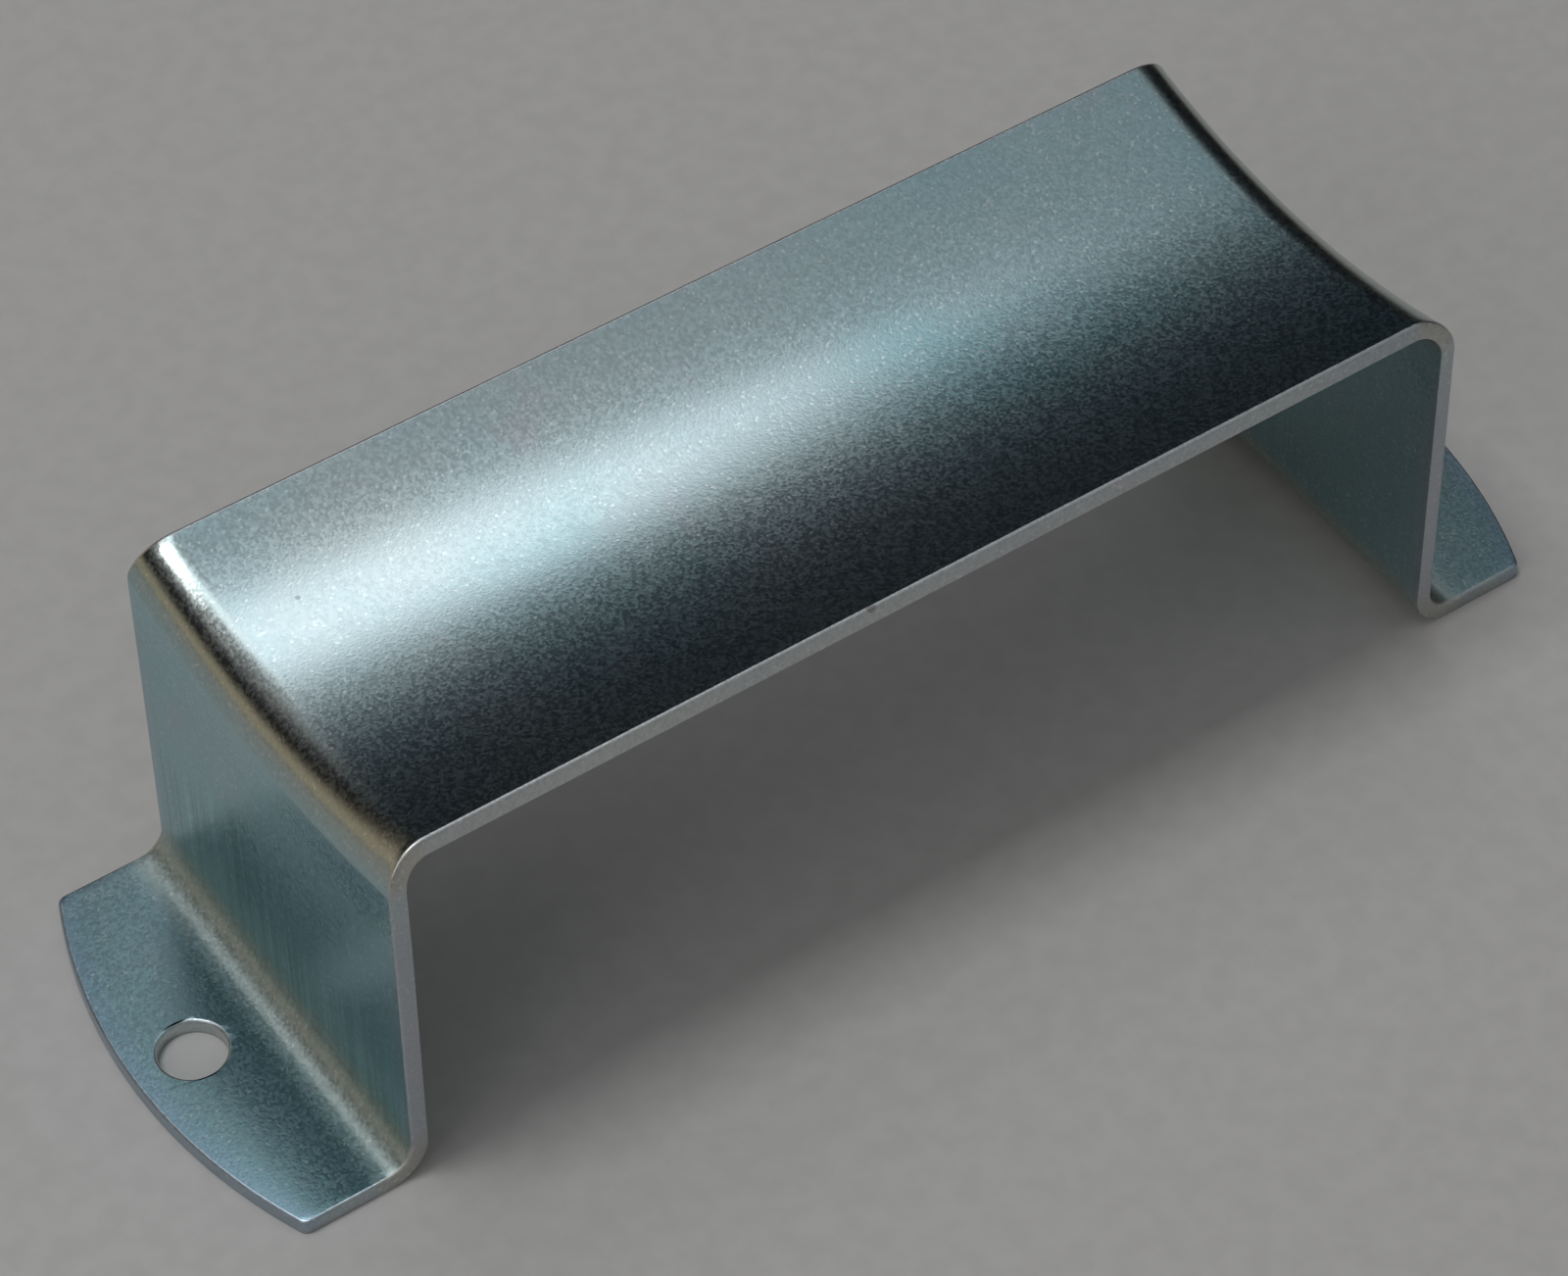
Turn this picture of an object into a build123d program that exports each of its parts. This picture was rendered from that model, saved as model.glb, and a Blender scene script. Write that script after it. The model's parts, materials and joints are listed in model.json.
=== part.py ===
"""Bridge pull handle: one strip of sheet steel, dished along the grip and folded down into two legs and
two drilled feet with curved ends.

Millimetres, +Z up, feet on z = 0, X along the grip, origin at the middle of the footprint.
"""
from build123d import *
import math
import os

os.makedirs("parts", exist_ok=True)

# Driving sizes
sheet_t = 1.5            # sheet thickness
strip_width = 40.0       # width of the strip at the legs and feet
hole_spacing = 120.0     # between the two fixing holes
hole_d = 5.8             # free clearance for an M5 screw
hole_to_end = 5.5        # hole's middle to the crown of its foot's curved end
hole_to_leg = 8.65       # hole's middle to the outside of the leg, at the floor
leg_lean = 0.9           # degrees each leg leans in towards the grip
grip_height = 38.0       # floor to the raised long edges of the grip
grip_width = 37.9        # straight across the grip, from one long edge to the other
dish_depth = 2.7         # how far the middle of the grip lies below its long edges
fold_r = 2.5             # inside radius of all four folds
foot_end_r = 50.0        # plan radius of each foot's curved end
foot_corner_r = 0.8      # plan radius of the foot's corners
edge_blend_r = 8.0       # how the straight leg edge eases into the tilted edge of the dished grip
punch_roll_r = 0.25      # rounding that the blanking punch leaves on the outer side's edges

# Sizes that follow
overall_length = hole_spacing + 2 * hole_to_end
leg_span = hole_spacing - 2 * hole_to_leg
outer_fold_r = fold_r + sheet_t
dish_r = ((grip_width / 2) ** 2 + dish_depth ** 2) / (2 * dish_depth)
dish_axis_z = grip_height - dish_depth + dish_r
dish_half_angle = math.asin(grip_width / 2 / dish_r)
lean_slope = math.tan(math.radians(leg_lean))
split_z = 2 * outer_fold_r      # where the upper shell meets the foot sections, above the lower folds
spare = 5.0                     # overlap for cuts, never seen
same_place = 0.01               # how close two places count as one


def leg_face_x(inset, z):
    """X of a leg's face at height z, the outer face for inset 0 and the inner one for inset sheet_t."""
    return leg_span / 2 - inset / math.cos(math.radians(leg_lean)) - z * lean_slope


def bridge_body(inset):
    """Filled bridge below the sheet's outer face moved in by inset: leaning ends, dished top, rounded folds."""
    half = strip_width / 2 + spare
    side = Plane.XZ * make_face(Polyline(
        (-leg_face_x(inset, -spare), -spare), (leg_face_x(inset, -spare), -spare),
        (leg_face_x(inset, dish_axis_z), dish_axis_z), (-leg_face_x(inset, dish_axis_z), dish_axis_z),
        close=True))
    body = extrude(side, amount=half, both=True)
    roller = Pos(0, 0, dish_axis_z) * Rot(0, 90, 0) * Cylinder(dish_r + inset, 2 * leg_span)
    body = body - roller
    dish = body.faces().filter_by(GeomType.CYLINDER)[0]
    ends = dish.edges().filter_by(GeomType.LINE, reverse=True)
    return fillet(ends, outer_fold_r - inset)


def upper_shell():
    """The dished grip, its two end folds and the legs, down to the split height."""
    shell = bridge_body(0) - bridge_body(sheet_t)
    room = Pos(0, 0, split_z) * Box(2 * leg_span, 3 * strip_width, 3 * grip_height,
                                    align=(Align.CENTER, Align.CENTER, Align.MIN))
    return shell & room


def edges_across(solid, x, z):
    """The straight edges across the strip that lie x from the middle, on either side, at height z."""
    return [edge for edge in solid.edges().filter_by(Axis.Y)
            if abs(abs(edge.center().X) - x) < same_place and abs(edge.center().Z - z) < same_place]


def foot_section(side):
    """One foot, its fold and the start of its leg, extruded along the fold."""
    tip = side * (overall_length / 2 + spare)
    section = Plane.XZ * make_face(Polyline(
        (side * leg_face_x(sheet_t, split_z), split_z), (side * leg_face_x(sheet_t, 0), 0),
        (tip, 0), (tip, sheet_t), (side * leg_face_x(0, sheet_t), sheet_t),
        (side * leg_face_x(0, split_z), split_z), close=True))
    foot = extrude(section, amount=strip_width / 2 + spare, both=True)
    foot = fillet(edges_across(foot, leg_face_x(sheet_t, 0), 0), outer_fold_r)
    return fillet(edges_across(foot, leg_face_x(0, sheet_t), sheet_t), fold_r)


def plan_outline():
    """Footprint of the blank: straight sides, curved foot ends, small corner radii."""
    half = strip_width / 2
    crown = overall_length / 2
    corner = crown - foot_end_r + math.sqrt(foot_end_r ** 2 - half ** 2)
    outline = make_face([
        Line((-corner, -half), (corner, -half)), ThreePointArc((corner, -half), (crown, 0), (corner, half)),
        Line((corner, half), (-corner, half)), ThreePointArc((-corner, half), (-crown, 0), (-corner, -half))])
    outline = fillet(outline.vertices(), foot_corner_r)
    return Pos(0, 0, -spare) * extrude(outline, amount=2 * grip_height)


def edge_outline():
    """End view of the strip's edges: upright on the legs, square to the sheet on the dished grip."""
    half = strip_width / 2
    knee = dish_axis_z - half / math.tan(dish_half_angle)
    view = make_face(Polyline((0, dish_axis_z), (half, knee), (half, -spare), (-half, -spare), (-half, knee),
                              close=True))
    knees = [corner for corner in view.vertices() if abs(corner.Y - knee) < same_place]
    view = Plane.YZ * fillet(knees, edge_blend_r)
    return extrude(view, amount=overall_length, both=True)


def is_outer_skin(face):
    """True for a face on the side of the sheet that the punch entered: grip top, leg outsides, foot tops."""
    normal, middle = face.normal_at(), face.center()
    outward = normal.X * middle.X
    if face.geom_type == GeomType.PLANE:
        return normal.Z > 0.9 or (abs(normal.X) > 0.9 and outward > 0)
    return normal.Z > 0.9 or (normal.Z > 0.3 and outward > 0)


def rolled_edges(part):
    """The edges round the outer skin, where it meets the cut edge or a hole's wall."""
    seen = {}
    for face in part.faces():
        if is_outer_skin(face):
            for edge in face.edges():
                middle = edge.position_at(0.5)
                seen.setdefault((round(middle.X, 3), round(middle.Y, 3), round(middle.Z, 3)), []).append(edge)
    return [found[0] for found in seen.values() if len(found) == 1]


def handle():
    """The finished handle, one solid."""
    part = upper_shell() + foot_section(-1) + foot_section(1)
    part = part & plan_outline() & edge_outline()
    for side in (-1, 1):
        part -= Pos(side * hole_spacing / 2, 0, 0) * Cylinder(hole_d / 2, 4 * sheet_t)
    part = part.clean()
    return fillet(rolled_edges(part), punch_roll_r)


handle_solid = handle()
handle_solid.label = "handle"
export_step(handle_solid, "parts/handle.step")
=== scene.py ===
"""Bridge pull handle: one strip of zinc plated sheet steel, dished along the grip, on a plain floor."""
import json
import logging
import math
from collections.abc import Callable, Iterable
from dataclasses import dataclass, field
from enum import Enum

import bpy
from mathutils import Matrix, Vector


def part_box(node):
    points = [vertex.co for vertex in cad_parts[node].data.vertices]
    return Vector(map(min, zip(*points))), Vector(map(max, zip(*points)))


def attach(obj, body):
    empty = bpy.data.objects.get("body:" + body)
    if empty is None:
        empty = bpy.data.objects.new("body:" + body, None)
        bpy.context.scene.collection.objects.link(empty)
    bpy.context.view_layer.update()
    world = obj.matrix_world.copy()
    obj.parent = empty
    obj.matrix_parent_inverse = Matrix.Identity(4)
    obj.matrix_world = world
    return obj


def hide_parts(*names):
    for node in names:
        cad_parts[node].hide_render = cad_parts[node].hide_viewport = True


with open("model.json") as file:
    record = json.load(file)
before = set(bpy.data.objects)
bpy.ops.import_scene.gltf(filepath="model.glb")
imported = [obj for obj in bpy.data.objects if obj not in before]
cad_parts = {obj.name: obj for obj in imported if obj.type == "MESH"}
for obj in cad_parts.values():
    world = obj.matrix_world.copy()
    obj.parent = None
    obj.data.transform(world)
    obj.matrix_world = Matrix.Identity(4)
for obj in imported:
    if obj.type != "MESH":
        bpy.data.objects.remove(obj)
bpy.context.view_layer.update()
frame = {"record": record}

log = logging.getLogger("pull_handle")
STRIP_MAP = "strip"
SAME_PLACE = 1e-6


class Skin(Enum):
    """The three kinds of surface on the sheet, and the material slot that each one takes."""

    OUTER = 0
    UNDER = 1
    CUT = 2


# ---------------------------------------------------------------- working in edit mode


def lone_object(obj: bpy.types.Object) -> None:
    """Makes one object the only selected and active one.

    Args:
        obj: The object to work on.
    """
    if bpy.context.object and bpy.context.object.mode != "OBJECT":
        bpy.ops.object.mode_set(mode="OBJECT")
    bpy.ops.object.select_all(action="DESELECT")
    obj.select_set(True)
    bpy.context.view_layer.objects.active = obj


def pick(obj: bpy.types.Object, part: str, wanted: Callable[[object], bool]) -> int:
    """Selects only the vertices, edges or faces that a test accepts, and leaves the mesh in edit mode.

    Args:
        obj: The object in work.
        part: "VERT", "EDGE" or "FACE".
        wanted: The test, which is given each vertex, edge or face.

    Returns:
        How many were selected.
    """
    bpy.ops.object.mode_set(mode="EDIT")
    bpy.ops.mesh.select_mode(type=part)
    bpy.ops.mesh.select_all(action="DESELECT")
    bpy.ops.object.mode_set(mode="OBJECT")
    rows = {"VERT": obj.data.vertices, "EDGE": obj.data.edges, "FACE": obj.data.polygons}[part]
    found = [row for row in rows if wanted(row)]
    for row in found:
        row.select = True
    bpy.ops.object.mode_set(mode="EDIT")
    return len(found)


def apply_modifier(obj: bpy.types.Object, kind: str, **settings: object) -> None:
    """Adds a modifier with its settings and applies it.

    Args:
        obj: The object to change.
        kind: The modifier's type name.
        **settings: Its settings by name.
    """
    lone_object(obj)
    modifier = obj.modifiers.new(kind.lower(), kind)
    for name, value in settings.items():
        setattr(modifier, name, value)
    bpy.ops.object.modifier_apply(modifier=modifier.name)


# ---------------------------------------------------------------- materials


class NodeBoard:
    """A node tree with short calls for adding nodes and joining them."""

    def __init__(self, tree: bpy.types.NodeTree) -> None:
        """Empties the tree.

        Args:
            tree: A material's, world's or group's node tree.
        """
        self.tree = tree
        tree.nodes.clear()

    def add(self, kind: str, wires: dict | None = None, **settings: object) -> bpy.types.Node:
        """Adds one node.

        Args:
            kind: The node's type name.
            wires: What goes in each input, by name or number: another node's output or a plain value.
            **settings: The node's own settings by name.

        Returns:
            The new node.
        """
        node = self.tree.nodes.new(kind)
        for name, value in settings.items():
            setattr(node, name, value)
        for socket, value in (wires or {}).items():
            if isinstance(value, bpy.types.NodeSocket):
                self.tree.links.new(value, node.inputs[socket])
            else:
                node.inputs[socket].default_value = value
        return node

    def math(self, work: str, *values: object) -> bpy.types.NodeSocket:
        """One arithmetic step.

        Args:
            work: The Math node's operation.
            *values: Its inputs, each an output of another node or a number.

        Returns:
            The result's socket.
        """
        return self.add("ShaderNodeMath", dict(enumerate(values)), operation=work).outputs[0]

    def span(self, value: object, low: float, high: float, out_low: float = 0.0,
             out_high: float = 1.0) -> bpy.types.NodeSocket:
        """Eases a value from one range into another, held at both ends.

        Args:
            value: The value's socket.
            low: Where the range starts.
            high: Where it ends.
            out_low: The result at the start.
            out_high: The result at the end.

        Returns:
            The result's socket.
        """
        wires = {"Value": value, "From Min": low, "From Max": high, "To Min": out_low, "To Max": out_high}
        return self.add("ShaderNodeMapRange", wires, interpolation_type="SMOOTHSTEP").outputs["Result"]

    def blend(self, share: object, first: object, second: object, how: str = "MIX") -> bpy.types.NodeSocket:
        """Mixes two colours.

        Args:
            share: How much of the second, a socket or a number.
            first: The first colour.
            second: The second colour.
            how: The Mix node's blend type.

        Returns:
            The mixed colour's socket.
        """
        node = self.tree.nodes.new("ShaderNodeMix")
        node.data_type = "RGBA"
        node.blend_type = how
        for slot, value in ((0, share), (6, first), (7, second)):
            if isinstance(value, bpy.types.NodeSocket):
                self.tree.links.new(value, node.inputs[slot])
            else:
                node.inputs[slot].default_value = value
        return node.outputs[2]


def paint(red: float, green: float, blue: float) -> tuple[float, float, float, float]:
    """A colour with full cover."""
    return (red, green, blue, 1.0)


def new_group(name: str, inputs: Iterable[tuple[str, str, object]],
              outputs: Iterable[tuple[str, str]]) -> tuple[NodeBoard, bpy.types.Node, bpy.types.Node]:
    """Starts a shader node group.

    Args:
        name: The group's name.
        inputs: Name, kind ("Float", "Vector" or "Color") and value of each input.
        outputs: Name and kind of each output.

    Returns:
        The group's board, its input node and its output node.
    """
    tree = bpy.data.node_groups.new(name, "ShaderNodeTree")
    for title, kind, value in inputs:
        socket = tree.interface.new_socket(title, in_out="INPUT", socket_type=f"NodeSocket{kind}")
        socket.default_value = value
    for title, kind in outputs:
        tree.interface.new_socket(title, in_out="OUTPUT", socket_type=f"NodeSocket{kind}")
    board = NodeBoard(tree)
    return board, board.add("NodeGroupInput"), board.add("NodeGroupOutput")


def plate_grain_group() -> bpy.types.NodeTree:
    """The fine crystals of the zinc, and a mask of the few that get a painted glint, one by one.

    Returns:
        A group that gives a height, a mask for the painted glint and a tone between 0 and 1.
    """
    board, given, result = new_group(
        "plate_grain",
        [("Place", "Vector", (0.0, 0.0, 0.0)), ("Crystals a metre", "Float", 3600.0)],
        [("Height", "Float"), ("Painted glint", "Float"), ("Tone", "Float")])
    place, count = given.outputs["Place"], given.outputs["Crystals a metre"]
    crystal = board.add("ShaderNodeTexVoronoi", {"Vector": place, "Scale": count})
    ripple = board.add("ShaderNodeTexNoise",
                       {"Vector": place, "Scale": board.math("MULTIPLY", count, 0.62), "Detail": 3.0,
                        "Roughness": 0.6})
    cell = board.add("ShaderNodeSeparateColor", {"Color": crystal.outputs["Color"]})
    height = board.math("ADD", board.math("MULTIPLY", crystal.outputs["Distance"], -0.5),
                        ripple.outputs["Fac"])
    # painted glint: the brightest tenth of the crystals, to be lightened in colour in place of a sparkle
    painted_glint = board.span(cell.outputs["Red"], 0.90, 1.0)
    board.tree.links.new(height, result.inputs["Height"])
    board.tree.links.new(painted_glint, result.inputs["Painted glint"])
    board.tree.links.new(cell.outputs["Green"], result.inputs["Tone"])
    return board.tree


def rolling_streaks_group() -> bpy.types.NodeTree:
    """Fine lines, as drawing leaves them, that run along one direction of the sheet.

    Returns:
        A group that gives a height and a tone between 0 and 1.
    """
    board, given, result = new_group(
        "rolling_streaks",
        [("Along", "Float", 0.0), ("Across", "Float", 0.0), ("Lines a metre", "Float", 2600.0),
         ("Line length", "Float", 0.02)],
        [("Height", "Float"), ("Tone", "Float")])
    lengthwise = board.math("DIVIDE", given.outputs["Along"], given.outputs["Line length"])
    sideways = board.math("MULTIPLY", given.outputs["Across"], given.outputs["Lines a metre"])
    place = board.add("ShaderNodeCombineXYZ", {"X": lengthwise, "Y": sideways}).outputs["Vector"]
    fine = board.add("ShaderNodeTexNoise", {"Vector": place, "Scale": 1.0, "Detail": 2.0})
    wide = board.add("ShaderNodeTexNoise", {"Vector": place, "Scale": 0.23, "Detail": 3.0})
    tone = board.math("ADD", board.math("MULTIPLY", fine.outputs["Fac"], 0.45),
                      board.math("MULTIPLY", wide.outputs["Fac"], 0.55))
    board.tree.links.new(fine.outputs["Fac"], result.inputs["Height"])
    board.tree.links.new(tone, result.inputs["Tone"])
    return board.tree


def passivate_tint_group() -> bpy.types.NodeTree:
    """The bluish film over the zinc, which drifts from grey green to teal and turns tan along the folds.

    Returns:
        A group that gives the plate's colour.
    """
    board, given, result = new_group(
        "passivate_tint",
        [("Place", "Vector", (0.0, 0.0, 0.0)), ("Fold", "Float", 0.0),
         ("Green", "Color", paint(0.5, 0.6, 0.6)), ("Teal", "Color", paint(0.34, 0.56, 0.62)),
         ("Tan", "Color", paint(0.55, 0.48, 0.38)), ("Pink", "Color", paint(0.5, 0.45, 0.52)),
         ("Teal share", "Float", 0.0)],
        [("Color", "Color")])
    place = given.outputs["Place"]
    drift = board.add("ShaderNodeTexNoise", {"Vector": place, "Scale": 38.0, "Detail": 2.0})
    patch = board.add("ShaderNodeTexNoise", {"Vector": place, "Scale": 120.0, "Detail": 3.0})
    share = board.add("ShaderNodeMath", {0: board.span(drift.outputs["Fac"], 0.35, 0.65, -0.25, 0.25),
                                         1: given.outputs["Teal share"]}, operation="ADD", use_clamp=True)
    share = share.outputs[0]
    flat = board.blend(share, given.outputs["Green"], given.outputs["Teal"])
    blush = board.span(patch.outputs["Fac"], 0.6, 0.8, 0.0, 0.35)
    flat = board.blend(blush, flat, given.outputs["Pink"])
    colour = board.blend(given.outputs["Fold"], flat, given.outputs["Tan"])
    board.tree.links.new(colour, result.inputs["Color"])
    return board.tree


def handling_marks_group() -> bpy.types.NodeTree:
    """The few marks of handling on the grip: a light scratch, a dark speck, and a nick in the front edge with
    painted shade.

    Returns:
        A group that gives a mask for the scratch and one for the dirt and the nick's painted shade.
    """
    board, given, result = new_group(
        "handling_marks", [("Place", "Vector", (0.0, 0.0, 0.0))], [("Scratch", "Float"), ("Dirt and nick shade", "Float")])
    place = given.outputs["Place"]
    scratch_middle, scratch_turn = (-0.0095, -0.0153, 0.0), (0.0, 0.0, math.radians(-29.0))
    turned = board.add("ShaderNodeMapping",
                       {"Vector": place, "Location": scratch_middle, "Rotation": scratch_turn},
                       vector_type="TEXTURE")
    x, y, _ = board.add("ShaderNodeSeparateXYZ", {"Vector": turned.outputs["Vector"]}).outputs
    broken = board.add("ShaderNodeTexNoise", {"Vector": place, "Scale": 900.0}).outputs["Fac"]
    scratch = board.math("MULTIPLY", board.span(board.math("ABSOLUTE", y), 0.00003, 0.00014, 1.0, 0.0),
                         board.span(board.math("ABSOLUTE", x), 0.003, 0.0052, 1.0, 0.0))
    scratch = board.math("MULTIPLY", scratch, board.span(broken, 0.3, 0.6))
    # dark spots: a speck of dirt, and painted shade in the nick of the front edge
    dirt_and_nick_shade = None
    speck, nick = ((-0.0415, 0.009, 0.0359), 0.0003), ((-0.0065, -0.0189, 0.0379), 0.0006)
    for middle, radius in (speck, nick):
        away = board.add("ShaderNodeVectorMath", {0: place, 1: middle}, operation="DISTANCE").outputs["Value"]
        spot = board.span(away, 0.4 * radius, radius, 1.0, 0.0)
        dirt_and_nick_shade = spot if dirt_and_nick_shade is None else board.math("MAXIMUM", dirt_and_nick_shade, spot)
    board.tree.links.new(scratch, result.inputs["Scratch"])
    board.tree.links.new(dirt_and_nick_shade, result.inputs["Dirt and nick shade"])
    return board.tree


@dataclass(frozen=True)
class PlateFinish:
    """Bright zinc with a bluish film, on one kind of surface of the strip."""

    name: str
    green: tuple[float, float, float, float] = paint(0.52, 0.605, 0.615)
    teal: tuple[float, float, float, float] = paint(0.35, 0.56, 0.605)
    tan: tuple[float, float, float, float] = paint(0.55, 0.50, 0.41)
    pink: tuple[float, float, float, float] = paint(0.50, 0.46, 0.54)
    blue: tuple[float, float, float, float] = paint(0.30, 0.44, 0.62)
    roughness: float = 0.21
    crystals: float = 4200.0
    grain_depth: float = 0.0000045
    # how strongly the painted glint lightens the crystals' colour
    painted_glint: float = 0.3
    # strength of the leg streaks and of their painted shade toward the foot
    streak_and_shade_strength: float = 1.0
    # how far the foot's painted shade darkens it
    foot_painted_shade: float = 0.66
    marks: float = 0.5
    edge_tint: float = 0.3

    def material(self, strip: "StripSizes") -> bpy.types.Material:
        """Builds the material.

        Args:
            strip: The strip's sizes, which say where its folds are along it.

        Returns:
            The material.
        """
        material = bpy.data.materials.new(self.name)
        material.use_nodes = True
        board = NodeBoard(material.node_tree)
        shader = board.add("ShaderNodeBsdfPrincipled", {"Metallic": 1.0})
        output = board.add("ShaderNodeOutputMaterial", {"Surface": shader.outputs["BSDF"]})
        output.is_active_output = True
        place = board.add("ShaderNodeTexCoord").outputs["Object"]
        flat = board.add("ShaderNodeUVMap", uv_map=STRIP_MAP)
        along, across, _ = board.add("ShaderNodeSeparateXYZ", {"Vector": flat.outputs["UV"]}).outputs
        along = board.math("ABSOLUTE", along)
        grain = board.add("ShaderNodeGroup", node_tree=bpy.data.node_groups["plate_grain"])
        board.tree.links.new(place, grain.inputs["Place"])
        grain.inputs["Crystals a metre"].default_value = self.crystals
        lines = board.add("ShaderNodeGroup", node_tree=bpy.data.node_groups["rolling_streaks"])
        board.tree.links.new(along, lines.inputs["Along"])
        board.tree.links.new(across, lines.inputs["Across"])
        # the tan tint sits on the folds
        top = board.math("ABSOLUTE", board.math("SUBTRACT", along, strip.top_fold_middle))
        low = board.math("ABSOLUTE", board.math("SUBTRACT", along, strip.low_fold_middle))
        fold = board.span(board.math("MINIMUM", top, low), 0.001, strip.fold_reach, 1.0, 0.0)
        low_fold = board.span(low, 0.001, strip.fold_reach, 1.0, 0.0)
        tint = board.add("ShaderNodeGroup", node_tree=bpy.data.node_groups["passivate_tint"])
        board.tree.links.new(place, tint.inputs["Place"])
        board.tree.links.new(board.math("MULTIPLY", fold, 0.5), tint.inputs["Fold"])
        leg = board.math("MULTIPLY", board.span(along, strip.top_fold_end, strip.top_fold_end + 0.006),
                         board.span(along, strip.low_fold_start - 0.002, strip.low_fold_end, 1.0, 0.0))
        lengthwise = board.add("ShaderNodeSeparateXYZ", {"Vector": place}).outputs["X"]
        far = board.span(lengthwise, -0.05, 0.05, 0.25, 0.9)
        off_grip = board.span(along, strip.top_x, strip.top_fold_end)
        board.tree.links.new(board.math("MAXIMUM", far, off_grip), tint.inputs["Teal share"])
        for title in ("Green", "Teal", "Tan", "Pink"):
            tint.inputs[title].default_value = getattr(self, title.lower())
        # lighter and darker crystals, and a few with a painted glint: pale colour in place of their sparkle
        tone = board.span(grain.outputs["Tone"], 0.0, 1.0, 0.92, 1.06)
        shade = board.add("ShaderNodeCombineColor", {"Red": tone, "Green": tone, "Blue": tone})
        colour = board.blend(1.0, tint.outputs["Color"], shade.outputs["Color"], "MULTIPLY")
        colour = board.blend(board.math("MULTIPLY", grain.outputs["Painted glint"], self.painted_glint), colour,
                             paint(0.90, 0.93, 0.94))
        # leg streaks, from a quarter strength at the leg's top to full near its foot, stronger and darker
        # downwards: partly the sheet's own streaks, partly painted shade where the lower leg reflects the
        # foot
        streak_and_shade_mask = board.add("ShaderNodeTexNoise", {"Vector": place, "Scale": 70.0, "Detail": 1.0}).outputs["Fac"]
        streak_and_shade_mask = board.math("MULTIPLY", board.span(streak_and_shade_mask, 0.35, 0.6),
                          board.span(along, strip.top_fold_end + 0.004, strip.low_fold_start - 0.008,
                                     0.25, 1.0))
        streaks_and_shade = board.math("MULTIPLY", board.math("MULTIPLY", leg, streak_and_shade_mask), self.streak_and_shade_strength)
        streak_and_shade_tone = board.span(lines.outputs["Tone"], 0.36, 0.64, -0.2, 0.12)
        streak_and_shade_tone = board.math("ADD", board.math("MULTIPLY", streak_and_shade_tone, streaks_and_shade), 1.0)
        streak_and_shade_tone = board.add("ShaderNodeCombineColor", {"Red": streak_and_shade_tone, "Green": streak_and_shade_tone, "Blue": streak_and_shade_tone})
        colour = board.blend(1.0, colour, streak_and_shade_tone.outputs["Color"], "MULTIPLY")
        # painted shade: the foot is painted darker than the leg, in place of the dim leg and room that it
        # reflects
        foot = board.span(along, strip.low_fold_middle, strip.low_fold_end + 0.002, 1.0, self.foot_painted_shade)
        foot = board.add("ShaderNodeCombineColor", {"Red": foot, "Green": foot, "Blue": foot})
        colour = board.blend(1.0, colour, foot.outputs["Color"], "MULTIPLY")
        rim = board.math("MULTIPLY", board.span(board.math("ABSOLUTE", across), strip.width / 2 - 0.0028,
                                                strip.width / 2), leg)
        colour = board.blend(board.math("MULTIPLY", rim, self.edge_tint), colour, self.pink)
        crown = board.add("ShaderNodeVectorMath", {0: place}, operation="ABSOLUTE").outputs["Vector"]
        arc_middle = (strip.length / 2 - strip.foot_end, 0.0, 0.0)
        crown = board.add("ShaderNodeVectorMath", {0: crown, 1: arc_middle},
                          operation="DISTANCE").outputs["Value"]
        crown = board.math("MULTIPLY", board.span(crown, strip.foot_end - 0.0028, strip.foot_end),
                           board.span(along, strip.low_fold_end, strip.low_fold_end + 0.002))
        colour = board.blend(board.math("MULTIPLY", crown, self.edge_tint), colour, self.blue)
        marks = board.add("ShaderNodeGroup", {"Place": place},
                          node_tree=bpy.data.node_groups["handling_marks"])
        colour = board.blend(board.math("MULTIPLY", marks.outputs["Scratch"], self.marks), colour,
                             paint(0.85, 0.88, 0.88))
        # near black at the speck of dirt and, as painted shade, in the nick
        colour = board.blend(board.math("MULTIPLY", marks.outputs["Dirt and nick shade"], self.marks), colour,
                             paint(0.10, 0.09, 0.08))
        rough = board.math("ADD", board.span(grain.outputs["Tone"], 0.0, 1.0, -0.03, 0.05), self.roughness)
        rough = board.math("ADD", rough, board.math("MULTIPLY", leg, 0.12))
        rough = board.math("ADD", rough, board.math("MULTIPLY", low_fold, 0.22))
        line_depth = board.math("MULTIPLY", streaks_and_shade, 3.0)
        height = board.math("ADD", grain.outputs["Height"],
                            board.math("MULTIPLY", line_depth, lines.outputs["Height"]))
        bump = board.add("ShaderNodeBump", {"Strength": 1.0, "Distance": self.grain_depth, "Height": height})
        for title, socket in (("Base Color", colour), ("Roughness", rough),
                              ("Normal", bump.outputs["Normal"])):
            board.tree.links.new(socket, shader.inputs[title])
        return material


# ---------------------------------------------------------------- the handle


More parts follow.
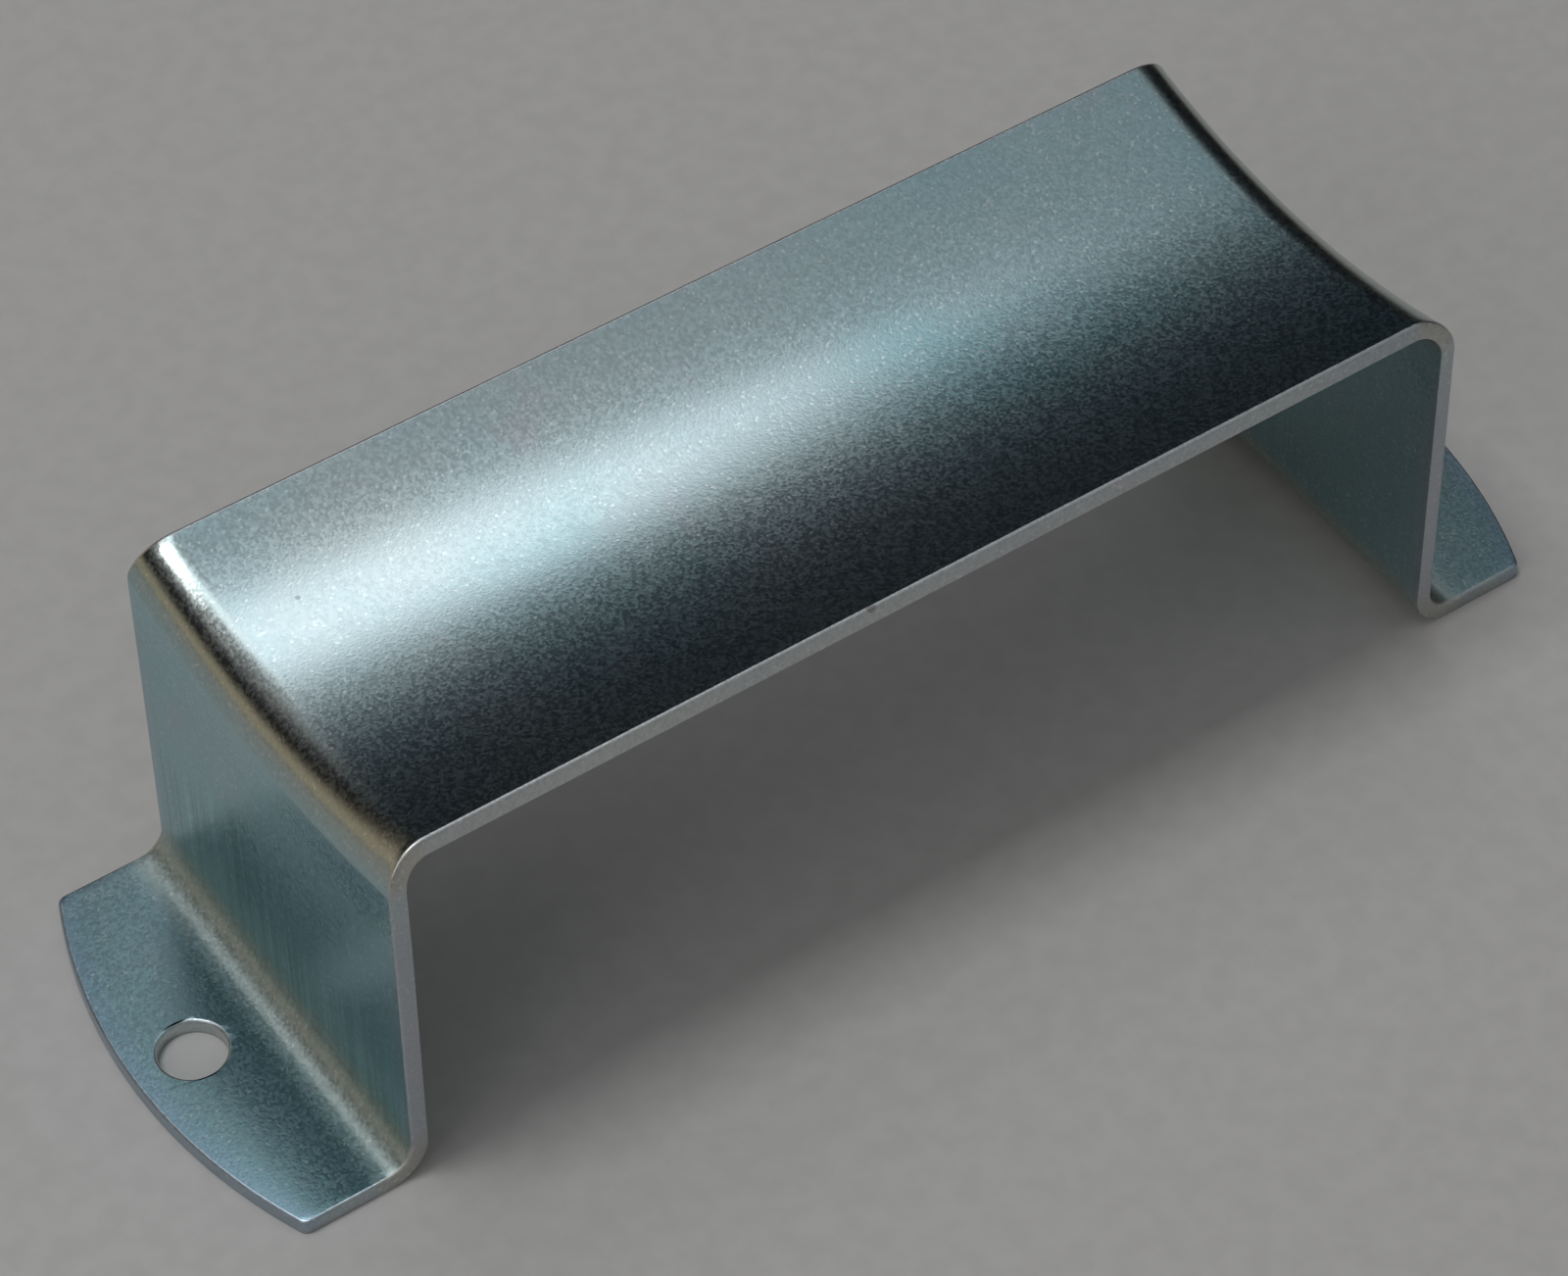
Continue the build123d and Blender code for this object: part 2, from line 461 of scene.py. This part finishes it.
@dataclass
class StripSizes:
    """The strip's sizes, in metres, and the places along it where its folds begin and end."""

    length: float
    width: float
    height: float
    hole_spacing: float
    hole_radius: float
    sheet: float = 0.0015
    hole_to_leg: float = 0.00865
    lean: float = math.radians(0.9)
    grip_width: float = 0.0379
    dish_depth: float = 0.0027
    inner_fold: float = 0.0025
    foot_end: float = 0.05
    foot_corner: float = 0.0008
    edge_blend: float = 0.008
    outer_roll: float = 0.00028
    inner_roll: float = 0.0001
    outer_fold: float = field(init=False)
    dish_radius: float = field(init=False)
    dish_axis: float = field(init=False)
    dish_half: float = field(init=False)
    leg_foot_x: float = field(init=False)
    top_x: float = field(init=False)
    top_z: float = field(init=False)
    low_x: float = field(init=False)
    low_z: float = field(init=False)

    def __post_init__(self) -> None:
        """Works out the sizes that follow from the others."""
        self.outer_fold = self.inner_fold + self.sheet
        self.dish_radius = ((self.grip_width / 2) ** 2 + self.dish_depth ** 2) / (2 * self.dish_depth)
        self.dish_axis = self.height - self.dish_depth + self.dish_radius
        self.dish_half = math.asin(self.grip_width / 2 / self.dish_radius)
        self.leg_foot_x = self.hole_spacing / 2 - self.hole_to_leg
        slope, stretch = math.tan(self.lean), 1 / math.cos(self.lean)
        self.top_z = self.height - self.dish_depth - self.outer_fold
        self.top_x = self.leg_foot_x - self.outer_fold * stretch - self.top_z * slope
        self.low_z = self.sheet + self.inner_fold
        self.low_x = self.leg_foot_x + self.inner_fold * stretch - self.low_z * slope

    @property
    def fold_turn(self) -> float:
        """How far each fold turns."""
        return math.pi / 2 - self.lean

    @property
    def leg_top(self) -> Vector:
        """Where the top fold runs out into the leg, on the middle line."""
        return Vector((self.top_x + self.outer_fold * math.cos(self.lean), 0.0,
                       self.top_z + self.outer_fold * math.sin(self.lean)))

    @property
    def leg_end(self) -> Vector:
        """Where the leg runs into its low fold, on the middle line."""
        return Vector((self.low_x - self.inner_fold * math.cos(self.lean), 0.0,
                       self.low_z - self.inner_fold * math.sin(self.lean)))

    @property
    def top_fold_end(self) -> float:
        """Along the strip from its middle to the end of the top fold."""
        return self.top_x + self.outer_fold * self.fold_turn

    @property
    def top_fold_middle(self) -> float:
        """Along the strip to the middle of the top fold."""
        return self.top_x + self.outer_fold * self.fold_turn / 2

    @property
    def low_fold_start(self) -> float:
        """Along the strip to where the low fold starts."""
        return self.top_fold_end + (self.leg_top - self.leg_end).length

    @property
    def low_fold_end(self) -> float:
        """Along the strip to where the low fold ends in the foot."""
        return self.low_fold_start + self.inner_fold * self.fold_turn

    @property
    def low_fold_middle(self) -> float:
        """Along the strip to the middle of the low fold."""
        return (self.low_fold_start + self.low_fold_end) / 2

    @property
    def fold_reach(self) -> float:
        """How far the folds' tint reaches from their middle."""
        return self.outer_fold

    def end_x(self, y: float) -> float:
        """Where the curved end of the foot is, at a place across the strip."""
        return self.length / 2 - self.foot_end + math.sqrt(self.foot_end ** 2 - y ** 2)

    def edge_y(self, z: float) -> float:
        """Half the strip's width on the leg and its top fold, at a height, with the eased corner.

        Args:
            z: The height.

        Returns:
            The distance from the middle line to the edge.
        """
        half = self.width / 2
        knee = self.dish_axis - half / math.tan(self.dish_half)
        ease = self.edge_blend * math.tan(self.dish_half / 2)
        if z <= knee - ease:
            return half
        if z >= knee + ease * math.cos(self.dish_half):
            return (self.dish_axis - z) * math.tan(self.dish_half)
        middle = half - self.edge_blend
        return middle + math.sqrt(self.edge_blend ** 2 - (z - knee + ease) ** 2)

    def unroll(self, place: Vector) -> tuple[float, float]:
        """Where a point of the outer skin lies on the flat strip.

        Args:
            place: The point.

        Returns:
            The distance along the strip from its middle, and the distance across it.
        """
        side, x = math.copysign(1.0, place.x), abs(place.x)
        drop = self.dish_axis - math.hypot(place.y, self.dish_axis - place.z)
        if x <= self.top_x:
            along = x
        elif drop >= self.leg_top.z:
            turn = math.atan2(x - self.top_x, drop - self.top_z)
            along = self.top_x + self.outer_fold * turn
        elif place.z >= self.leg_end.z:
            along = self.top_fold_end + max(0.0, self.leg_top.z - place.z) / math.cos(self.lean)
        elif x < self.low_x:
            turn = math.atan2(self.low_z - place.z, self.low_x - x)
            along = self.low_fold_start + self.inner_fold * (turn - self.lean)
        else:
            along = self.low_fold_end + x - self.low_x
        return side * along, place.y


@dataclass
class PullHandle:
    """The handle: one strip with a dished grip, two legs and two drilled feet."""

    sizes: StripSizes
    finishes: dict[Skin, bpy.types.Material]
    name: str = "pull_handle"
    grip_steps: int = 16
    dish_steps: int = 20
    fold_steps: int = 16
    leg_steps: int = 6
    foot_steps: int = 3
    foot_step: float = 0.0022
    square_share: float = 0.82
    corner_share: float = 0.7
    hole_sides: int = 64
    smooth_angle: float = math.radians(40.0)

    def draw_section(self) -> bpy.types.Object:
        """Draws a quarter of the section: half the grip's middle line and the top fold.

        Returns:
            The new object, whose mesh is one chain of edges.
        """
        sizes = self.sizes
        bpy.ops.object.select_all(action="DESELECT")
        grip_z = sizes.height - sizes.dish_depth
        half = sizes.top_x / 2
        bpy.ops.mesh.primitive_plane_add(size=sizes.top_x, location=(half, half, grip_z))
        quarter = bpy.context.object
        quarter.name = quarter.data.name = self.name
        bpy.ops.object.transform_apply(location=True, rotation=True, scale=True)
        pick(quarter, "VERT", lambda vertex: vertex.co.y > half)
        bpy.ops.mesh.delete(type="VERT")
        pick(quarter, "EDGE", lambda edge: True)
        bpy.ops.mesh.subdivide(number_cuts=self.grip_steps - 1)
        pick(quarter, "VERT", lambda vertex: vertex.co.x > sizes.top_x - SAME_PLACE)
        bpy.ops.mesh.spin(steps=self.fold_steps, angle=-sizes.fold_turn,
                          center=(sizes.top_x, 0.0, sizes.top_z), axis=(0.0, 1.0, 0.0))
        return quarter

    def sweep_dish(self, quarter: bpy.types.Object) -> None:
        """Sweeps the section about the dish's axis, and eases the edge into the leg's width.

        Args:
            quarter: The quarter in work.
        """
        sizes = self.sizes
        pick(quarter, "VERT", lambda vertex: True)
        bpy.ops.mesh.spin(steps=self.dish_steps, angle=-sizes.dish_half, center=(0.0, 0.0, sizes.dish_axis),
                          axis=(1.0, 0.0, 0.0))
        turn = sizes.fold_turn / self.fold_steps
        for step in range(1, self.fold_steps + 1):
            drop = sizes.top_z + sizes.outer_fold * math.cos(step * turn)
            reach = sizes.dish_axis - drop
            edge = Vector((0.0, reach * math.sin(sizes.dish_half),
                           sizes.dish_axis - reach * math.cos(sizes.dish_half)))
            wanted = sizes.edge_y(edge.z)
            if wanted < edge.y - SAME_PLACE:
                x = sizes.top_x + sizes.outer_fold * math.sin(step * turn)
                pick(quarter, "VERT", lambda vertex: abs(vertex.co.x - x) < SAME_PLACE
                     and abs(math.hypot(vertex.co.y, sizes.dish_axis - vertex.co.z) - reach) < SAME_PLACE)
                bpy.ops.transform.resize(value=(1.0, wanted / edge.y, 1.0), center_override=(0.0, 0.0, 0.0))

    def row_below(self, quarter: bpy.types.Object, test: Callable[[Vector], bool]) -> None:
        """Selects the row of edges whose two ends pass a test.

        Args:
            quarter: The quarter in work.
            test: The test of a place.
        """
        places = [vertex.co.copy() for vertex in quarter.data.vertices]
        pick(quarter, "EDGE", lambda edge: all(test(places[index]) for index in edge.vertices))

    def fold_leg(self, quarter: bpy.types.Object) -> None:
        """Draws the leg down from the top fold, turns the low fold and runs the foot out to its curved end.

        Args:
            quarter: The quarter in work.
        """
        sizes = self.sizes
        start = sizes.leg_top
        bpy.ops.object.mode_set(mode="OBJECT")
        self.row_below(quarter, lambda place: place.x > start.x - SAME_PLACE)
        top, end = self.square_share * start.z, sizes.leg_end
        slope = math.tan(sizes.lean)
        bpy.ops.mesh.extrude_region_move()
        bpy.ops.transform.resize(value=(1.0, 1.0, 0.0), center_override=(0.0, 0.0, top))
        bpy.ops.transform.translate(value=((start.z - top) * slope, 0.0, 0.0))
        bpy.ops.object.mode_set(mode="OBJECT")
        widest = max(vertex.co.y for vertex in quarter.data.vertices if abs(vertex.co.z - top) < SAME_PLACE)
        bpy.ops.object.mode_set(mode="EDIT")
        bpy.ops.transform.resize(value=(1.0, sizes.width / 2 / widest, 1.0), center_override=(0.0, 0.0, 0.0))
        step = (top - end.z) / self.leg_steps
        for _ in range(self.leg_steps):
            bpy.ops.mesh.extrude_region_move(TRANSFORM_OT_translate={"value": (step * slope, 0.0, -step)})
        bpy.ops.mesh.spin(steps=self.fold_steps, angle=sizes.fold_turn,
                          center=(sizes.low_x, 0.0, sizes.low_z), axis=(0.0, 1.0, 0.0))
        for _ in range(self.foot_steps):
            bpy.ops.mesh.extrude_region_move(TRANSFORM_OT_translate={"value": (self.foot_step, 0.0, 0.0)})
        bpy.ops.mesh.extrude_region_move()
        bpy.ops.object.mode_set(mode="OBJECT")
        last = [(vertex.index, vertex.co.copy()) for vertex in quarter.data.vertices if vertex.select]
        for index, place in last:
            pick(quarter, "VERT", lambda vertex: vertex.index == index)
            bpy.ops.transform.translate(value=(sizes.end_x(place.y) - place.x, 0.0, 0.0))
        half = sizes.width / 2
        pick(quarter, "VERT", lambda vertex: vertex.co.x > sizes.low_x + 0.003
             and vertex.co.x > sizes.end_x(half) - SAME_PLACE and vertex.co.y > half - SAME_PLACE)
        bpy.ops.mesh.bevel(affect="VERTICES", offset=sizes.foot_corner * self.corner_share, segments=5)

    def close_sheet(self, quarter: bpy.types.Object) -> None:
        """Mirrors the quarter into the whole strip, lays its flat map and gives the sheet its thickness.

        Args:
            quarter: The finished quarter.
        """
        bpy.ops.object.mode_set(mode="OBJECT")
        apply_modifier(quarter, "MIRROR", use_axis=(True, True, False), use_clip=True, merge_threshold=1e-5)
        lone_object(quarter)
        pick(quarter, "FACE", lambda face: True)
        bpy.ops.mesh.remove_doubles(threshold=1e-6)
        bpy.ops.mesh.normals_make_consistent(inside=False)
        bpy.ops.object.mode_set(mode="OBJECT")
        grip = min(quarter.data.polygons, key=lambda face: abs(face.center.x) + abs(face.center.y))
        if grip.normal.z < 0:
            pick(quarter, "FACE", lambda face: True)
            bpy.ops.mesh.flip_normals()
            bpy.ops.object.mode_set(mode="OBJECT")
        while quarter.data.uv_layers:
            quarter.data.uv_layers.remove(quarter.data.uv_layers[0])
        flat = quarter.data.uv_layers.new(name=STRIP_MAP)
        for loop in quarter.data.loops:
            flat.uv[loop.index].vector = self.sizes.unroll(quarter.data.vertices[loop.vertex_index].co)
        for skin in Skin:
            quarter.data.materials.append(self.finishes[skin])
        apply_modifier(quarter, "SOLIDIFY", thickness=self.sizes.sheet, offset=-1.0, use_even_offset=True,
                       use_quality_normals=True, material_offset=Skin.UNDER.value,
                       material_offset_rim=Skin.CUT.value)

    def punch_holes(self, strip: bpy.types.Object) -> None:
        """Cuts the two fixing holes.

        Args:
            strip: The closed strip.
        """
        sizes = self.sizes
        for side in (-1, 1):
            bpy.ops.object.select_all(action="DESELECT")
            middle = (side * sizes.hole_spacing / 2, 0.0, sizes.sheet / 2)
            bpy.ops.mesh.primitive_cylinder_add(vertices=self.hole_sides, radius=sizes.hole_radius,
                                                depth=6 * sizes.sheet, location=middle)
            punch = bpy.context.object
            bpy.ops.object.transform_apply(location=True, rotation=True, scale=True)
            for skin in Skin:
                punch.data.materials.append(self.finishes[skin])
            for face in punch.data.polygons:
                face.material_index = Skin.CUT.value
            apply_modifier(strip, "BOOLEAN", object=punch, operation="DIFFERENCE", solver="EXACT")
            bpy.data.objects.remove(punch, do_unlink=True)

    def roll_edges(self, strip: bpy.types.Object) -> None:
        """Rounds the edges that the blanking punch rolled over, and takes the burr off the others.

        Args:
            strip: The closed strip with its holes.
        """
        for skin, roll, segments in ((Skin.OUTER, self.sizes.outer_roll, 4),
                                     (Skin.UNDER, self.sizes.inner_roll, 2)):
            lone_object(strip)
            touching: dict[tuple[int, int], set[int]] = {}
            for face in strip.data.polygons:
                for key in face.edge_keys:
                    touching.setdefault(key, set()).add(face.material_index)
            both = {skin.value, Skin.CUT.value}
            found = pick(strip, "EDGE", lambda edge: touching.get(tuple(sorted(edge.vertices))) == both)
            log.info("%s: %d edges rolled on the %s side", self.name, found, skin.name.lower())
            bpy.ops.mesh.bevel(affect="EDGES", offset=roll, segments=segments, material=Skin.CUT.value)
            bpy.ops.object.mode_set(mode="OBJECT")

    def build(self) -> bpy.types.Object:
        """Builds the handle and sets it in the frame.

        Returns:
            The finished piece.
        """
        strip = self.draw_section()
        self.sweep_dish(strip)
        self.fold_leg(strip)
        self.close_sheet(strip)
        self.punch_holes(strip)
        self.roll_edges(strip)
        lone_object(strip)
        bpy.ops.object.shade_smooth_by_angle(angle=self.smooth_angle)
        apply_modifier(strip, "WEIGHTED_NORMAL", mode="FACE_AREA", weight=50, keep_sharp=True)
        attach(strip, "root")
        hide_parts("handle")
        log.info("%s: %d faces", strip.name, len(strip.data.polygons))
        return strip


# ---------------------------------------------------------------- floor, light and camera


@dataclass
class Studio:
    """The plain floor, the soft lamps and the dim room round them."""

    floor_size: float = 6.0
    floor_colour: tuple[float, float, float, float] = paint(0.52, 0.505, 0.485)
    key_place: tuple[float, float, float] = (-0.32, 0.10, 1.1)
    key_size: tuple[float, float] = (0.44, 0.30)
    key_watts: float = 4.0
    band_place: tuple[float, float, float] = (0.17, 0.445, 1.0)
    band_size: tuple[float, float] = (0.60, 0.20)
    band_watts: float = 0.60
    fill_place: tuple[float, float, float] = (-1.0, -0.4, 0.8)
    fill_size: tuple[float, float] = (0.6, 0.6)
    fill_watts: float = 1.6

    def lay_floor(self) -> bpy.types.Object:
        """Lays the floor.

        Returns:
            The floor.
        """
        bpy.ops.object.select_all(action="DESELECT")
        bpy.ops.mesh.primitive_plane_add(size=self.floor_size, location=(0.0, 0.0, -2e-5))
        floor = bpy.context.object
        floor.name = "floor"
        bpy.ops.object.transform_apply(location=True, rotation=True, scale=True)
        material = bpy.data.materials.new("floor_card")
        material.use_nodes = True
        board = NodeBoard(material.node_tree)
        shader = board.add("ShaderNodeBsdfPrincipled", {"Roughness": 0.85, "Specular IOR Level": 0.2})
        place = board.add("ShaderNodeTexCoord").outputs["Object"]
        fleck = board.add("ShaderNodeTexNoise", {"Vector": place, "Scale": 420.0, "Detail": 4.0})
        tone = board.span(fleck.outputs["Fac"], 0.3, 0.7)
        darker = tuple(0.94 * value for value in self.floor_colour[:3]) + (1.0,)
        board.tree.links.new(board.blend(tone, darker, self.floor_colour), shader.inputs["Base Color"])
        board.add("ShaderNodeOutputMaterial", {"Surface": shader.outputs["BSDF"]})
        floor.data.materials.append(material)
        log.info("floor laid")
        return floor

    def hang_lamp(self, name: str, place: tuple[float, float, float], size: tuple[float, float], watts: float,
                  turn: float = 0.0) -> bpy.types.Object:
        """Hangs a rectangular soft lamp that faces the handle.

        Args:
            name: The lamp's name.
            place: Its middle.
            size: Its width and depth.
            watts: Its power.
            turn: Its turn about the line to the handle.

        Returns:
            The lamp.
        """
        lamp = bpy.data.lights.new(name, "AREA")
        lamp.shape = "RECTANGLE"
        lamp.size, lamp.size_y = size
        lamp.energy = watts
        lamp.color = (0.94, 0.97, 1.0)
        hung = bpy.data.objects.new(name, lamp)
        bpy.context.scene.collection.objects.link(hung)
        back = Vector(place).normalized()
        right = Vector((math.cos(turn), math.sin(turn), 0.0))
        right = (right - right.dot(back) * back).normalized()
        up = back.cross(right)
        hung.matrix_world = Matrix.Translation(place) @ Matrix((right, up, back)).transposed().to_4x4()
        return hung

    def light_room(self) -> None:
        """Gives the room its dim walls and its paler ceiling."""
        world = bpy.data.worlds.new("room")
        bpy.context.scene.world = world
        world.use_nodes = True
        board = NodeBoard(world.node_tree)
        way = board.add("ShaderNodeTexCoord").outputs["Generated"]
        side, depth, rise = board.add("ShaderNodeSeparateXYZ", {"Vector": way}).outputs
        ramp = board.add("ShaderNodeValToRGB", {"Fac": rise})
        stops = ((0.0, (0.16, 0.13, 0.10)), (0.05, (0.06, 0.05, 0.04)), (0.12, (0.012, 0.012, 0.014)),
                 (0.56, (0.012, 0.013, 0.016)), (0.67, (0.06, 0.062, 0.068)), (0.78, (0.40, 0.40, 0.41)),
                 (1.0, (0.42, 0.42, 0.43)))
        while len(ramp.color_ramp.elements) < len(stops):
            ramp.color_ramp.elements.new(0.5)
        for element, (position, colour) in zip(ramp.color_ramp.elements, stops):
            element.position = position
            element.color = paint(*colour)
        bright = board.math("MULTIPLY", board.span(side, -0.35, 0.2, 0.35, 1.0),
                            board.span(side, 0.32, 0.6, 1.0, 0.7))
        facing = board.add("ShaderNodeVectorMath", {0: way, 1: (-0.82, 0.57, 0.0)}, operation="DOT_PRODUCT")
        wall = board.math("MULTIPLY", board.span(facing.outputs["Value"], 0.35, 0.75),
                          board.span(rise, 0.18, 0.5, 1.0, 0.0))
        shade = board.add("ShaderNodeCombineColor", {"Red": bright, "Green": bright, "Blue": bright})
        ceiling = board.blend(1.0, ramp.outputs["Color"], shade.outputs["Color"], "MULTIPLY")
        colour = board.blend(wall, ceiling, paint(0.40, 0.335, 0.25))
        front = board.math("MULTIPLY", board.span(board.math("MULTIPLY", depth, -1.0), 0.15, 0.5, 0.0, 0.85),
                           board.span(rise, 0.02, 0.2))
        colour = board.blend(front, colour, paint(0.33, 0.335, 0.345))
        sky = board.add("ShaderNodeBackground", {"Color": colour, "Strength": 1.0})
        board.add("ShaderNodeOutputWorld", {"Surface": sky.outputs["Background"]})

    def light(self) -> None:
        """Hangs the lamps and lights the room."""
        self.light_room()
        self.hang_lamp("key_lamp", self.key_place, self.key_size, self.key_watts)
        self.hang_lamp("band_lamp", self.band_place, self.band_size, self.band_watts, math.radians(32.0))
        self.hang_lamp("fill_lamp", self.fill_place, self.fill_size, self.fill_watts)
        log.info("lamps hung")


@dataclass
class Viewpoint:
    """The camera, by where it looks and from which side."""

    target: tuple[float, float, float] = (-0.002543, -0.000591, 0.015)
    azimuth: float = math.radians(33.386)
    elevation: float = math.radians(48.253)
    roll: float = math.radians(-1.119)
    distance: float = 0.43329
    lens: float = 120.486
    film_width: float = 36.0

    def place(self) -> bpy.types.Object:
        """Sets the camera up and makes it the scene's own.

        Returns:
            The camera.
        """
        lens = bpy.data.cameras.new("camera")
        lens.lens, lens.sensor_width, lens.sensor_fit = self.lens, self.film_width, "HORIZONTAL"
        lens.clip_start, lens.clip_end = 0.01, 50.0
        camera = bpy.data.objects.new("camera", lens)
        bpy.context.scene.collection.objects.link(camera)
        level = math.cos(self.elevation)
        back = Vector((-math.sin(self.azimuth) * level, -math.cos(self.azimuth) * level,
                       math.sin(self.elevation)))
        right = Vector((0.0, 0.0, 1.0)).cross(back).normalized()
        up = back.cross(right)
        turn, lean = math.cos(self.roll), math.sin(self.roll)
        right, up = turn * right + lean * up, turn * up - lean * right
        placed = Matrix((right, up, back)).transposed().to_4x4()
        camera.matrix_world = Matrix.Translation(Vector(self.target) + self.distance * back) @ placed
        bpy.context.scene.camera = camera
        return camera


def strip_sizes() -> StripSizes:
    """Reads the handle's sizes from the frame.

    Returns:
        The strip's sizes.
    """
    low, high = (Vector(corner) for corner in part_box("handle"))
    holes = next(mount["dims"] for mount in frame["record"]["mounts"] if mount["name"] == "fixing_holes")
    return StripSizes(length=high.x - low.x, width=high.y - low.y, height=0.038,
                      hole_spacing=holes["spacing_x_mm"] / 1000, hole_radius=holes["hole_r_mm"] / 1000)


def main() -> None:
    """Builds the scene."""
    logging.basicConfig(level=logging.INFO, format="%(name)s: %(message)s")
    bpy.context.scene.view_settings.view_transform = "Standard"
    Viewpoint().place()
    plate_grain_group()
    rolling_streaks_group()
    passivate_tint_group()
    handling_marks_group()
    sizes = strip_sizes()
    finishes = {
        Skin.OUTER: PlateFinish("zinc_outer_face").material(sizes),
        # the under face is the same zinc painted darker: painted shade on the inner faces of the legs and
        # under the grip
        Skin.UNDER: PlateFinish("zinc_under_face_painted_shade", green=paint(0.44, 0.52, 0.54),
                                  teal=paint(0.34, 0.51, 0.55), streak_and_shade_strength=0.3).material(sizes),
        Skin.CUT: PlateFinish("zinc_cut_edge", green=paint(0.60, 0.62, 0.62), teal=paint(0.48, 0.54, 0.56),
                              roughness=0.36, grain_depth=0.00001, streak_and_shade_strength=0.0,
                              foot_painted_shade=0.9).material(sizes),
    }
    PullHandle(sizes, finishes).build()
    studio = Studio()
    studio.lay_floor()
    studio.light()


if __name__ == "__main__":
    main()
